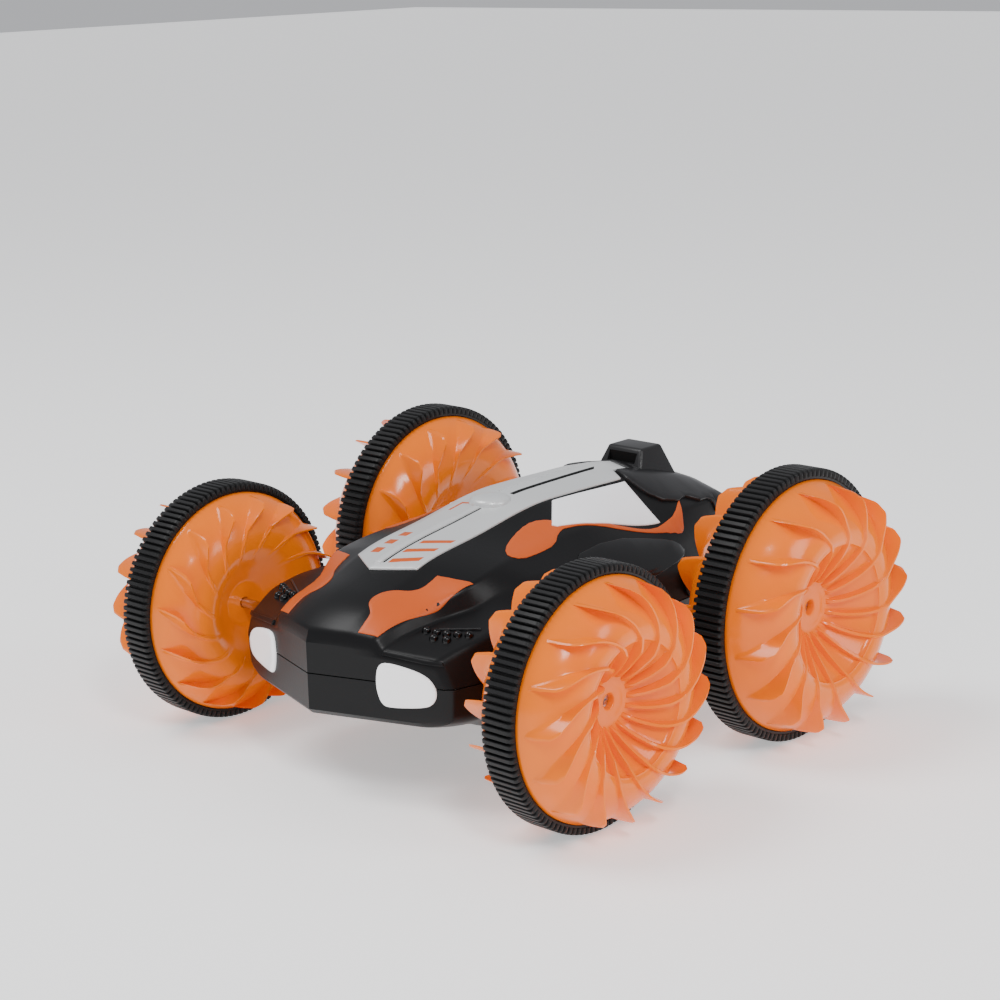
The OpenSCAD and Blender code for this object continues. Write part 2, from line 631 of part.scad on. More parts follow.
module screw(r_head, h_head, length) {
  cylinder(h = h_head, r = r_head, $fn = small_fn);
  translate([0, 0, h_head - 0.1]) cylinder(h = length, r = screw_r, $fn = small_fn);
}
module screws() {
  color("silver") {
    for (p = SHELL_SCREWS) translate([p[0], p[1], head_z - 1.8 - seat_c]) screw(head_r, 1.8, 13);
    translate([0, door_screw_y, belly_z + 0.2]) screw(head_r, 0.78, 6);
  }
}
module switch_body() {
  color("#303030") difference() {
    translate([-6, switch_y - 10, belly_z + shell_wall + 0.1]) cube([12, 20, 8]);
    translate([-4.2, switch_y - slot_half - 2, belly_z]) cube([8.4, 2 * slot_half + 4, 5]);
  }
}
module switch_slider() {
  color("#ff6a1a") translate([0, switch_y - switch_travel / 2, 0]) {
    translate([-4, -4.8, belly_z + shell_wall + 0.2]) cube([8, 9.6, 1.4]);
    translate([-1.9, -2.8, belly_z - 1]) cube([3.8, 5.6, shell_wall + 1.4]);
  }
}

// ---------------------------------------------------------------- nodes

on_wheel(front_axle, 1) tyre(1);  // tyre_front_left
on_wheel(front_axle, -1) tyre(1);  // tyre_front_right
on_wheel(rear_axle, 1) tyre(rear_scale);  // tyre_rear_left
on_wheel(rear_axle, -1) tyre(rear_scale);  // tyre_rear_right
on_wheel(front_axle, 1) outer_bowl(PADDLE_TOP, paddle_sweep, 1);  // outer_bowl_front_left
on_wheel(front_axle, -1) outer_bowl(PADDLE_TOP, paddle_sweep, 1);  // outer_bowl_front_right
on_wheel(rear_axle, 1) outer_bowl(PETAL_TOP, petal_sweep, rear_scale);  // outer_bowl_rear_left
on_wheel(rear_axle, -1) outer_bowl(PETAL_TOP, petal_sweep, rear_scale);  // outer_bowl_rear_right
on_wheel(front_axle, 1) inner_bowl(1);  // inner_bowl_front_left
on_wheel(front_axle, -1) inner_bowl(1);  // inner_bowl_front_right
on_wheel(rear_axle, 1) inner_bowl(rear_scale);  // inner_bowl_rear_left
on_wheel(rear_axle, -1) inner_bowl(rear_scale);  // inner_bowl_rear_right
on_wheel(front_axle, 1) axle();  // axle_front_left
on_wheel(front_axle, -1) axle();  // axle_front_right
on_wheel(rear_axle, 1) axle();  // axle_rear_left
on_wheel(rear_axle, -1) axle();  // axle_rear_right
at_axis(front_axle) drive_gear(front_teeth, front_gear_phase, axle_r + seat_c);  // axle_gear_front_left
mirror([1, 0, 0]) at_axis(front_axle) drive_gear(front_teeth, front_gear_phase, axle_r + seat_c);  // axle_gear_front_right
at_axis(rear_axle) drive_gear(rear_teeth, rear_gear_phase, axle_r + seat_c);  // axle_gear_rear_left
mirror([1, 0, 0]) at_axis(rear_axle) drive_gear(rear_teeth, rear_gear_phase, axle_r + seat_c);  // axle_gear_rear_right
on_wheel(front_axle, 1) wheel_screw();  // wheel_screw_front_left
on_wheel(front_axle, -1) wheel_screw();  // wheel_screw_front_right
on_wheel(rear_axle, 1) wheel_screw();  // wheel_screw_rear_left
on_wheel(rear_axle, -1) wheel_screw();  // wheel_screw_rear_right
idler(front_idler, end_idler_teeth, front_idler_phase);  // front_idler_left
mirror([1, 0, 0]) idler(front_idler, end_idler_teeth, front_idler_phase);  // front_idler_right
idler(mid_idler, mid_idler_teeth, mid_idler_phase);  // middle_idler_left
mirror([1, 0, 0]) idler(mid_idler, mid_idler_teeth, mid_idler_phase);  // middle_idler_right
idler(rear_idler, end_idler_teeth, rear_idler_phase);  // rear_idler_left
mirror([1, 0, 0]) idler(rear_idler, end_idler_teeth, rear_idler_phase);  // rear_idler_right
reduction_gear();  // reduction_gear_left
mirror([1, 0, 0]) reduction_gear();  // reduction_gear_right
motor_shaft();  // motor_shaft_left
mirror([1, 0, 0]) motor_shaft();  // motor_shaft_right
motor_pinion();  // motor_pinion_left
mirror([1, 0, 0]) motor_pinion();  // motor_pinion_right
upper_shell();
lower_shell();
shell_gasket();
spine_panel();
window_left();
window_right();
rear_cowl();
roof_scoop();
headlight_left();
headlight_right();
led_boards();
battery_cells();
battery_door();
door_seal();
control_board();
both_sides() motor_can();  // motor_cans
gear_frame();  // gear_frame_left
mirror([1, 0, 0]) gear_frame();  // gear_frame_right
gear_pins();
axle_bushes();
axle_seals();
screws();
switch_body();
switch_slider();
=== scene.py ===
import json
import math

import bmesh
import bpy
import numpy as np
from mathutils import Matrix, Vector
from mathutils.bvhtree import BVHTree
from mathutils.geometry import delaunay_2d_cdt


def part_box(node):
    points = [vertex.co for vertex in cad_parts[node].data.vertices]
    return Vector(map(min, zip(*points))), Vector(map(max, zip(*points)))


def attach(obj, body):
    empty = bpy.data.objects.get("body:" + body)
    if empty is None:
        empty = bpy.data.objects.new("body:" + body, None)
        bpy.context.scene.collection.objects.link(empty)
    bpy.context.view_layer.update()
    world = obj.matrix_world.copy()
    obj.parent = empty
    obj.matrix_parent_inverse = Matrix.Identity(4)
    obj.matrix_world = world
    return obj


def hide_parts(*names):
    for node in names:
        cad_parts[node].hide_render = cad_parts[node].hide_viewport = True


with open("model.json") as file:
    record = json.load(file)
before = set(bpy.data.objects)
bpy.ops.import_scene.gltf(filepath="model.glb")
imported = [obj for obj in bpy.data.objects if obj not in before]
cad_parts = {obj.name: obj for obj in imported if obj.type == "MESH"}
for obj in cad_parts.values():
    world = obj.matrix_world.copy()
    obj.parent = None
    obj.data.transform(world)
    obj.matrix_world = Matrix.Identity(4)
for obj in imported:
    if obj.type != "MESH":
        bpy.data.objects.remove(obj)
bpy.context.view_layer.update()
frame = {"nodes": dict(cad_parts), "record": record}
MM = 0.001


# ------------------------------------------------------------------ materials

def new_material(name, color, rough, metallic=0.0, coat=0.0, grain=0.0, grain_scale=900.0, vary=0.06,
                 streaks=None, spec=0.5, painted_glow=0.0):
    """A plain surface whose colour drifts by vary over a slow noise, with fine bumps where grain is set and,
    where asked, a painted glow in its own colour.
    """
    mat = bpy.data.materials.new(name)
    mat.use_nodes = True
    nt = mat.node_tree
    bsdf = nt.nodes["Principled BSDF"]
    bsdf.inputs["Roughness"].default_value = rough
    bsdf.inputs["Metallic"].default_value = metallic
    bsdf.inputs["Coat Weight"].default_value = coat
    bsdf.inputs["Coat Roughness"].default_value = 0.05
    bsdf.inputs["Specular IOR Level"].default_value = spec
    # Emission of the surface's own colour is a painted glow: it makes the window panels and headlight lenses
    # shine as if lit, and keeps the floor evenly bright.
    if painted_glow:
        bsdf.inputs["Emission Color"].default_value = (*color, 1)
        bsdf.inputs["Emission Strength"].default_value = painted_glow
    coord = nt.nodes.new("ShaderNodeTexCoord")
    noise = nt.nodes.new("ShaderNodeTexNoise")
    noise.inputs["Scale"].default_value = 60.0
    noise.inputs["Detail"].default_value = 3.0
    ramp = nt.nodes.new("ShaderNodeMix")
    ramp.data_type = "RGBA"
    ramp.inputs[6].default_value = (*[c * (1 - vary) for c in color], 1)
    ramp.inputs[7].default_value = (*[min(1.0, c * (1 + vary)) for c in color], 1)
    if streaks:
        mapping = nt.nodes.new("ShaderNodeMapping")
        mapping.inputs["Scale"].default_value = streaks
        nt.links.new(coord.outputs["Object"], mapping.inputs["Vector"])
        nt.links.new(mapping.outputs["Vector"], noise.inputs["Vector"])
    else:
        nt.links.new(coord.outputs["Object"], noise.inputs["Vector"])
    nt.links.new(noise.outputs["Fac"], ramp.inputs[0])
    nt.links.new(ramp.outputs[2], bsdf.inputs["Base Color"])
    if grain:
        fine = nt.nodes.new("ShaderNodeTexNoise")
        fine.inputs["Scale"].default_value = grain_scale
        fine.inputs["Detail"].default_value = 4.0
        bump = nt.nodes.new("ShaderNodeBump")
        bump.inputs["Strength"].default_value = grain
        bump.inputs["Distance"].default_value = 0.0002
        nt.links.new(coord.outputs["Object"], fine.inputs["Vector"])
        nt.links.new(fine.outputs["Fac"], bump.inputs["Height"])
        nt.links.new(bump.outputs["Normal"], bsdf.inputs["Normal"])
    return mat


M = {
    "orange": new_material("orange_gloss", (0.95, 0.19, 0.0), 0.17, coat=0.0, vary=0.03, spec=0.36),
    "tyre": new_material("tyre_rubber", (0.01, 0.01, 0.0105), 0.45, grain=0.35, vary=0.15, spec=0.25),
    "tyre_side": new_material("tyre_side", (0.006, 0.0055, 0.0055), 0.36, grain=0.15, vary=0.1, spec=0.3),
    "black": new_material("black_satin", (0.006, 0.006, 0.0065), 0.34, grain=0.12, vary=0.1, spec=0.2),
    "cowl": new_material("cowl_satin", (0.013, 0.013, 0.014), 0.32, grain=0.12, vary=0.1, spec=0.35),
    "gloss": new_material("black_gloss", (0.003, 0.003, 0.0035), 0.12, vary=0.05, spec=0.35),
    "silver": new_material("silver_satin", (0.66, 0.67, 0.67), 0.34, metallic=0.25, grain=0.1, vary=0.05),
    # The white window panels get a painted glow, so they shine brighter than the lamps light them.
    "white": new_material("white_brushed_painted_glow", (0.93, 0.93, 0.97), 0.3, coat=0.2, vary=0.06,
                          streaks=(3.0, 40.0, 3.0), painted_glow=0.22),
    # The headlight lenses are not lit lamps; their glow is painted light.
    "lens": new_material("lens_white_painted_glow", (0.96, 0.96, 0.97), 0.16, coat=0.5, vary=0.02, painted_glow=0.35),
    "mark": new_material("orange_film", (0.62, 0.10, 0.012), 0.4, vary=0.05, spec=0.3),
    "steel": new_material("steel_plain", (0.60, 0.61, 0.63), 0.25, metallic=1.0, vary=0.05, grain=0.05),
    "brass": new_material("brass_plain", (0.72, 0.50, 0.2), 0.28, metallic=1.0, vary=0.05),
    "nylon": new_material("nylon_natural", (0.80, 0.77, 0.68), 0.45, vary=0.04),
    "seal": new_material("seal_rubber", (0.012, 0.012, 0.012), 0.6, grain=0.3, vary=0.1),
    "board": new_material("board_green", (0.03, 0.17, 0.06), 0.3, coat=0.3, vary=0.2),
    "battery": new_material("battery_blue", (0.04, 0.11, 0.42), 0.22, coat=0.4, vary=0.05),
    # A flat near-black used as painted shade: beside the spine rib, in the spine slot and in the roof scoop.
    "dark": new_material("painted_shade_dark", (0.003, 0.003, 0.003), 0.6, vary=0.1, spec=0.2),
}
SLOT_LOOK = {"tyre_rubber": "tyre", "orange_bowl": "orange", "steel": "steel", "gear_nylon": "nylon",
             "brass": "brass", "black_body": "black", "black_cowl": "cowl", "seal_rubber": "seal",
             "silver_paint": "silver", "white_panel": "white", "headlight_white": "lens",
             "circuit_board": "board", "battery_wrap": "battery", "orange_switch": "orange"}
for part in frame["record"]["subparts"]:
    node = frame["nodes"][part["node"]]
    node.data.materials.clear()
    node.data.materials.append(M[SLOT_LOOK[part["material_slot"]]])


# ------------------------------------------------------------------ mesh tools

def make(name, verts, faces, look, body="root", slot=None, replaces=(), sharp=34.0, merge=0.004,
         faces_look=None, looks=None, cut=None):
    """A mesh object from millimetre coordinates, with its normals outwards."""
    me = bpy.data.meshes.new(name)
    me.from_pydata([tuple(v) for v in verts], [], [tuple(int(i) for i in f) for f in faces])
    for key in (looks or [look]):
        me.materials.append(M[key])
    if faces_look is not None:
        me.polygons.foreach_set("material_index", np.array(faces_look, np.int32))
    bm = bmesh.new()
    bm.from_mesh(me)
    if merge:
        bmesh.ops.remove_doubles(bm, verts=bm.verts, dist=merge)
    bmesh.ops.dissolve_degenerate(bm, edges=bm.edges, dist=0.0005)
    bmesh.ops.recalc_face_normals(bm, faces=bm.faces)
    bm.to_mesh(me)
    bm.free()
    me.transform(Matrix.Scale(MM, 4))
    obj = bpy.data.objects.new(name, me)
    bpy.context.scene.collection.objects.link(obj)
    if cut:
        subtract(obj, cut)
    obj.data.shade_smooth()
    obj.data.set_sharp_from_angle(angle=math.radians(sharp))
    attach(obj, body)
    if replaces:
        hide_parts(*replaces)
    return obj


def subtract(obj, cutters):
    """Cuts closed meshes, given as (verts in mm, faces), out of obj."""
    made = []
    for i, (verts, faces) in enumerate(cutters):
        me = bpy.data.meshes.new(f"{obj.name}_cut{i}")
        me.from_pydata([tuple(v) for v in verts], [], [tuple(f) for f in faces])
        bm = bmesh.new()
        bm.from_mesh(me)
        bmesh.ops.recalc_face_normals(bm, faces=bm.faces)
        bm.to_mesh(me)
        bm.free()
        me.transform(Matrix.Scale(MM, 4))
        cutter = bpy.data.objects.new(me.name, me)
        bpy.context.scene.collection.objects.link(cutter)
        mod = obj.modifiers.new(f"cut{i}", "BOOLEAN")
        mod.operation = "DIFFERENCE"
        mod.solver = "EXACT"
        mod.object = cutter
        made.append(cutter)
    bpy.context.view_layer.update()
    depsgraph = bpy.context.evaluated_depsgraph_get()
    result = bpy.data.meshes.new_from_object(obj.evaluated_get(depsgraph))
    obj.modifiers.clear()
    obj.data = result
    for cutter in made:
        bpy.data.objects.remove(cutter)


def grid_faces(rows, cols, wrap=False, start=0):
    """Quads between rows of points, closed around each row if wrap is set."""
    last = cols if wrap else cols - 1
    return [(start + r * cols + c, start + r * cols + (c + 1) % cols,
             start + (r + 1) * cols + (c + 1) % cols, start + (r + 1) * cols + c)
            for r in range(rows - 1) for c in range(last)]


def pchip(xs, ys, x):
    """Monotone cubic interpolation."""
    xs, ys = np.asarray(xs, float), np.asarray(ys, float)
    h = np.diff(xs)
    d = np.diff(ys) / h
    m = np.zeros_like(ys)
    for i in range(1, len(xs) - 1):
        if d[i - 1] * d[i] > 0:
            w1, w2 = 2 * h[i] + h[i - 1], h[i] + 2 * h[i - 1]
            m[i] = (w1 + w2) / (w1 / d[i - 1] + w2 / d[i])
    m[0], m[-1] = d[0], d[-1]
    x = np.clip(np.asarray(x, float), xs[0], xs[-1])
    k = np.clip(np.searchsorted(xs, x, side="right") - 1, 0, len(h) - 1)
    t = (x - xs[k]) / h[k]
    return ((2 * t**3 - 3 * t**2 + 1) * ys[k] + (t**3 - 2 * t**2 + t) * h[k] * m[k]
            + (-2 * t**3 + 3 * t**2) * ys[k + 1] + (t**3 - t**2) * h[k] * m[k + 1])


def cylinder(axis, center, r, a, b, n=40):
    """A closed cylinder along 'x' or 'z' from a to b; center is the pair of the other coordinates."""
    pts = []
    for end in (a, b):
        for i in range(n):
            u = center[0] + r * math.cos(2 * math.pi * i / n)
            v = center[1] + r * math.sin(2 * math.pi * i / n)
            pts.append((end, u, v) if axis == "x" else (u, v, end))
    faces = [tuple(range(n)), tuple(range(n, 2 * n))]
    faces += [(i, (i + 1) % n, n + (i + 1) % n, n + i) for i in range(n)]
    return pts, faces


def block(x0, x1, y0, y1, z0, z1):
    """A closed box."""
    pts = [(x, y, z) for x in (x0, x1) for y in (y0, y1) for z in (z0, z1)]
    return pts, [(0, 1, 3, 2), (4, 6, 7, 5), (0, 4, 5, 1), (2, 3, 7, 6), (0, 2, 6, 4), (1, 5, 7, 3)]


def lathe(profile, place, n=64):
    """A profile [(r, h)] turned about an axis; place(x, y, h) puts a point in the frame."""
    verts = []
    for r, h in profile:
        for i in range(n):
            a = 2 * math.pi * i / n
            verts.append(place(r * math.cos(a), r * math.sin(a), h))
    return verts, grid_faces(len(profile), n, wrap=True)


# ------------------------------------------------------------------ wheels

# Sizes of the front wheel in millimetres; the rear wheel is k times as large. Outlines are (radius, height),
# with the height counted from the tyre's side face.
FRONT_TYRE_D = 98.0
TYRE_R = 49.0
TYRE_W = 13.6
FACE = TYRE_W / 2
RIM = 45.0
FINS = 16
RIBS = 116
DISH_EDGE = 24.4
OUTER = [(8.0, 2.8), (12, 4.2), (18, 9), (22.6, 12.6), (24.2, 13.7)]
CREST = [(25.0, 15.2), (26.6, 15.9), (28.5, 16.0), (33, 14.6), (38, 11), (42, 6), (44.2, 1.7)]
PADDLE = [(9.4, 4.9), (14, 9.3), (20, 14.8), (26, 17.4), (32, 17.6), (38, 17.0), (41.2, 15.8), (42.8, 13.2),
          (43.55, 8), (43.85, 3)]
PETAL = [(9.3, 4.8), (14, 8.6), (20, 13.2), (23.8, 15.6), (25.2, 16.2), (28.1, 17.2), (32.4, 17.0),
         (37, 17.4), (40.4, 17.0), (42.7, 13.4), (43.5, 8), (43.8, 3)]
INNER = [(9, 4), (15, 7.5), (21, 11.4), (25, 13.1), (28.5, 13.5), (33, 12.3), (38, 9.4), (42, 5.2),
         (44.2, 1.7)]
INNER_FIN = [(20, 10.9), (24, 13.2), (28.5, 14.2), (33, 13.8), (37, 15.0), (40.5, 15.4), (42.6, 12.8),
             (43.5, 7), (43.8, 3)]
# Rings of a bowl, close together at the dish edge and at the fin tips
RINGS = [8.0, 9, 10, 11, 12, 13, 14, 15.5, 17, 18.5, 20, 21.2, 22.4, 23.4, 24.2, 24.6, 25.0, 25.6, 26.4,
         27.4, 28.5, 30, 31.5, 33, 34.5, 36, 37.5, 38.7, 39.8, 40.6, 41.3, 41.9, 42.4, 42.8, 43.1, 43.35,
         43.55, 43.72, 43.85, 44.0, 44.2]
# A fin's section: (offset along the ring, share of the fin's height)
CROSS = [(-1.7, 0.0), (-1.12, 0.03), (-0.86, 0.3), (-0.74, 0.86), (-0.52, 1.0), (0.0, 1.0), (0.52, 1.0),
         (0.74, 0.86), (0.86, 0.3), (1.12, 0.03), (1.7, 0.0)]
FIN_FOOT = CROSS[-1][0]
# Sizes that are the same on both wheels: shaft bore, screw hole, screw head hole, and depths behind the face
SHAFT_R = 2.06
SCREW_R = 1.2
HEAD_R = 2.8
HEAD_SEAT = 1.6
RIM_DEPTH = 6.3
HUB_DEPTH = 8.6


def bowl_height(kind, r):
    """Height of the bare bowl at radius r; the outer bowls step up at the edge of their dish."""
    if kind == "inner":
        return float(pchip(*zip(*INNER), r)) if r > INNER[0][0] else float(INNER[0][1])
    if r <= DISH_EDGE:
        return float(pchip(*zip(*OUTER), r))
    return float(pchip(*zip(*CREST), max(r, CREST[0][0])))


def bowl_rows(kind, k, top):
    """Rings (radius, height, fin height) from the hub out to the rim and back along the inner wall."""
    if kind == "inner":
        hub = 4.0
        rows = [(SHAFT_R / k, -2.0, 0), (SHAFT_R / k, 3.6, 0), (2.4 / k, hub, 0), (6.4, hub, 0)]
    else:
        hub = 2.8
        rows = [(SCREW_R / k, -1.62 / k, 0), (HEAD_R / k, -HEAD_SEAT / k, 0), (HEAD_R / k, hub - 0.45, 0),
                (3.1 / k, hub - 0.1, 0), (3.5 / k, hub, 0), (6.8, hub, 0)]
    fin_r, fin_h = zip(*top)
    for r in RINGS:
        base = bowl_height(kind, r)
        fin = float(np.interp(r, fin_r, fin_h)) if fin_r[0] <= r <= fin_r[-1] else 0.0
        rows.append((r, base, max(0.0, fin - base)))
    rows += [(44.55, 1.0, 0), (44.9, 0.35, 0), (RIM - 0.03 / k, -0.1, 0), (RIM - 0.03 / k, -RIM_DEPTH / k, 0)]
    wall = [(43.2, -RIM_DEPTH / k), (43.0, -0.6), (41.4, 3.6), (37.4, 8.8), (32.6, 11.6), (28.3, 12.7),
            (25, 12.2), (20, 8.2), (14, 4.0), (8.0, 1.0), (5.2, 0.6), (5.2, -HUB_DEPTH / k),
            (SHAFT_R / k, -HUB_DEPTH / k)]
    if kind != "inner":
        wall.append((SCREW_R / k, -HUB_DEPTH / k))
    drop = 1.9 if kind == "inner" else 0
    return rows + [(r, h if h < 2 else h - drop, 0) for r, h in wall]


def bowl_mesh(kind, k, place):
    """A closed bowl with its fins; place(x, y, h) puts a point in the frame."""
    top = {"paddle": PADDLE, "petal": PETAL, "inner": INNER_FIN}[kind]
    sweep = math.radians(48 if kind == "paddle" else 34)
    r0, r1 = top[0][0] * k, RIM * k
    rows = bowl_rows(kind, k, top)
    verts = []
    for r, base, fin in rows:
        rr = r * k
        pitch = 2 * math.pi * rr / FINS
        room = min(1.0, 0.40 * pitch / FIN_FOOT)
        offsets = [(o * room, w) for o, w in CROSS]
        free = pitch - 2 * FIN_FOOT * room
        offsets += [(FIN_FOOT * room + free * t, 0.0) for t in (0.25, 0.5, 0.75)]
        turn = sweep * max(0.0, (rr - r0) / (r1 - r0)) ** 1.2
        slim = 1.0 - 0.25 * min(1.0, max(0.0, (rr / k - 20) / 24))
        for i in range(FINS):
            for j, (o, w) in enumerate(offsets):
                oo = o * slim if j < len(CROSS) and abs(o) < 1.2 else o
                a = turn + 2 * math.pi * i / FINS + oo / rr
                verts.append(place(rr * math.cos(a), rr * math.sin(a), FACE + (base + fin * w) * k))
    cols = FINS * (len(CROSS) + 3)
    last = (len(rows) - 1) * cols
    faces = grid_faces(len(rows), cols, wrap=True)
    faces += [(last + c, last + (c + 1) % cols, (c + 1) % cols, c) for c in range(cols)]
    return verts, faces


def tyre_mesh(k, place):
    """A closed tyre ring with ribs over grooves, and for each face 1 on the side walls or 0 on the tread."""
    seat = RIM * k
    tread = TYRE_R * k
    wall = tread - seat
    # (rib radius, rib z, groove radius, groove z) from the seat to the middle; the side walls have no groove
    half = [(seat + 0.06, 4.0, None, None), (seat + 0.06, 6.0, None, None), (seat + 0.3, 6.35, None, None),
            (seat + 0.7, 6.45, None, None), (seat + 0.28 * wall, 6.4, None, None),
            (seat + 0.31 * wall, 6.78, seat + 0.31 * wall, 6.3), (tread - 1.3, 6.78, tread - 1.9, 6.15),
            (tread - 0.55, 6.55, tread - 1.75, 5.75), (tread - 0.12, 6.0, tread - 1.65, 5.3),
            (tread, 5.2, tread - 1.6, 4.8), (tread, 0.0, tread - 1.6, 0.0)]
    profile = half + [(rib_r, -rib_z, low_r, None if low_z is None else -low_z)
                      for rib_r, rib_z, low_r, low_z in reversed(half[:-1])]
    cross = [(0.03, 0.0), (0.24, 0.0), (0.33, 0.82), (0.39, 1.0), (0.86, 1.0), (0.94, 0.82)]
    verts, looks = [], []
    for rib_r, rib_z, low_r, low_z in profile:
        for i in range(RIBS):
            for t, w in cross:
                angle = 2 * math.pi * (i + t) / RIBS
                r = rib_r if low_r is None else low_r + (rib_r - low_r) * w
                z = rib_z if low_z is None else low_z + (rib_z - low_z) * w
                verts.append(place(r * math.cos(angle), r * math.sin(angle), z))
    cols = RIBS * len(cross)
    n = len(profile)
    last = (n - 1) * cols
    faces = grid_faces(n, cols, wrap=True)
    faces += [(last + c, last + (c + 1) % cols, (c + 1) % cols, c) for c in range(cols)]
    for row in range(n):
        looks += [1 if row < 4 or row >= n - 5 else 0] * cols
    return verts, faces, looks


def wheel(end, hand):
    """Tyre, outer bowl and inner bowl of one wheel, placed by its tyre's CAD box."""
    tag = f"{end}_{hand}"
    lo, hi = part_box(f"tyre_{tag}")
    mid = (lo + hi) / 2 / MM
    side = 1 if hand == "left" else -1
    k = (hi.z - lo.z) / MM / FRONT_TYRE_D
    body = f"wheel_{tag}"

    def outwards(x, y, z):
        return (mid.x + side * z, mid.y + y, mid.z - x)

    def inwards(x, y, z):
        return (mid.x - side * z, mid.y - y, mid.z - x)

    verts, faces, looks = tyre_mesh(k, outwards)
    make(f"v_tyre_{tag}", verts, faces, "tyre", body, "tyre_rubber", (f"tyre_{tag}",), sharp=38,
         looks=["tyre", "tyre_side"], faces_look=looks, merge=0)
    verts, faces = bowl_mesh("paddle" if end == "front" else "petal", k, outwards)
    make(f"v_outer_bowl_{tag}", verts, faces, "orange", body, "orange_bowl", (f"outer_bowl_{tag}",),
         sharp=44)
    verts, faces = bowl_mesh("inner", k, inwards)
    make(f"v_inner_bowl_{tag}", verts, faces, "orange", body, "orange_bowl", (f"inner_bowl_{tag}",),
         sharp=44)


for end in ("front", "rear"):
    for hand in ("left", "right"):
        wheel(end, hand)


# ------------------------------------------------------------------ body shells

# Cross sections of the body: (y, how far a point runs back per mm of x, the outline's half in x and z)
SEAM_Z = 49
SEAM_GAP = 0.22
WALL = 1.0
SECTIONS = [
    (-108.4, 0.33, [(0, 61), (14, 61), (25, 60.5), (28, 58.5), (49, 57), (53, 49), (51, 38), (44, 35),
                    (0, 35)]),
    (-106.5, 0.33, [(0, 66), (15, 66), (26, 64.8), (29, 61), (51, 59.5), (56, 49), (55, 36), (46, 33),
                    (0, 33)]),
    (-76, 0.1, [(0, 80.5), (16, 78), (31, 71.8), (33, 66.3), (56, 65), (59, 49), (58, 35), (48, 29), (0, 27)]),
    (-56, 0, [(0, 86), (16, 84), (37, 78.4), (40, 70), (55, 67), (57, 49), (55, 33), (45, 23), (0, 22)]),
    (-35, 0, [(0, 89.5), (16, 87.2), (35, 82), (44, 76), (52, 64), (54, 49), (52, 32), (42, 19), (0, 19)]),
    (10, 0, [(0, 95.5), (16, 93.6), (33, 84), (43, 74), (51, 62), (53, 49), (51, 32), (42, 19), (0, 19)]),
    (56, 0, [(0, 96.6), (16, 93), (34, 76), (42, 68), (48, 60), (51, 49), (48, 33), (40, 19), (0, 19)]),
    (78, 0, [(0, 92), (15, 90), (33, 79), (37, 66), (42, 58), (45, 49), (43, 36), (36, 24), (0, 22)]),
    (98, 0, [(0, 86), (14, 84.5), (31, 79), (33, 68), (35, 58), (35, 49), (34, 40), (29, 32), (0, 29)]),
    (106, 0, [(0, 83), (13, 81.5), (29, 77), (30, 68), (31, 58), (31, 49), (30, 42), (26, 36), (0, 34)])]
SY = [s[0] for s in SECTIONS]
STATIONS = ([-108.4, -107.8, -107.1, -106.5, -105.6, -104] + list(np.arange(-101, -74, 3.0))
            + [-74, -71, -68, -64.5, -61] + list(np.arange(-58, 98, 4.0)) + [98, 101, 103.5, 105, 105.7, 106])
# Corner radius at each point of the outline that is rounded
ROUND = {1: 1.6, 2: 1.4, 3: 1.2, 4: 2.4, 6: 3.0, 7: 4.0}


def outline(y, t):
    """The nine outline points of the body at y, moved inwards by t."""
    pts = []
    for i in range(9):
        x = float(pchip(SY, [s[2][i][0] for s in SECTIONS], y))
        z = float(pchip(SY, [s[2][i][1] for s in SECTIONS], y))
        x = 0.0 if i in (0, 8) else x - t
        z = z - t if i < 5 else z + t if i > 5 else z
        pts.append((x, z))
    return pts


def rounded(pts, first, last):
    """The outline from point first to point last, with its corners rounded."""
    out = []
    for i in range(first, last + 1):
        p = np.array(pts[i])
        if i in (0, 5, 8) or i in (first, last):
            out.append(tuple(p))
            continue
        a, b = np.array(pts[i - 1]), np.array(pts[i + 1])
        la, lb = np.linalg.norm(a - p), np.linalg.norm(b - p)
        d = min(ROUND[i], 0.4 * la, 0.4 * lb)
        pa, pb = p + (a - p) * d / la, p + (b - p) * d / lb
        for s in (0, 0.33, 0.67, 1):
            q = (1 - s) ** 2 * pa + 2 * s * (1 - s) * p + s * s * pb
            out.append(tuple(q))
    return out


def shell_mesh(upper, t):
    """One shell as a closed wall of thickness t, with its two end walls."""
    rings = {}
    for wall in (0, t):
        grid = []
        ys = list(STATIONS)
        if wall:
            ys = [min(max(s, SY[0] + wall), SY[-1] - wall) for s in ys]
        for n, y in enumerate(ys):
            half = rounded(outline(STATIONS[n], wall), *((0, 5) if upper else (5, 8)))
            v = float(pchip(SY, [s[1] for s in SECTIONS], STATIONS[n]))
            edge_z = SEAM_Z + SEAM_GAP if upper else SEAM_Z - SEAM_GAP
            if upper:
                half = half[:-1] + [(half[-1][0] + 0.03, edge_z)]
            else:
                half = [(half[0][0] + 0.03, edge_z)] + half[1:]
                half = half[::-1]
            ring = [(-x, y + v * x, z) for x, z in half[::-1]] + [(x, y + v * x, z) for x, z in half[1:]]
            grid.append(ring)
        ends = {}
        for key, ring in (("nose", grid[0]), ("tail", grid[-1])):
            y0 = ys[0] if key == "nose" else ys[-1]
            v = SECTIONS[0][1] if key == "nose" else 0.0
            ends[key] = [[(x * f, y0 + v * abs(x * f), z) for x, _, z in ring] for f in (0.66, 0.33, 0.0)]
        rings[wall] = ends["nose"][::-1] + grid + ends["tail"]
    outer, inner = rings[0], rings[t]
    cols, rows = len(outer[0]), len(outer)
    verts = [p for ring in outer for p in ring] + [p for ring in inner for p in ring]
    shift = rows * cols
    faces = grid_faces(rows, cols) + grid_faces(rows, cols, start=shift)
    for c in (0, cols - 1):
        for r in range(rows - 1):
            a, b = r * cols + c, (r + 1) * cols + c
            faces.append((a, b, b + shift, a + shift))
    return verts, faces


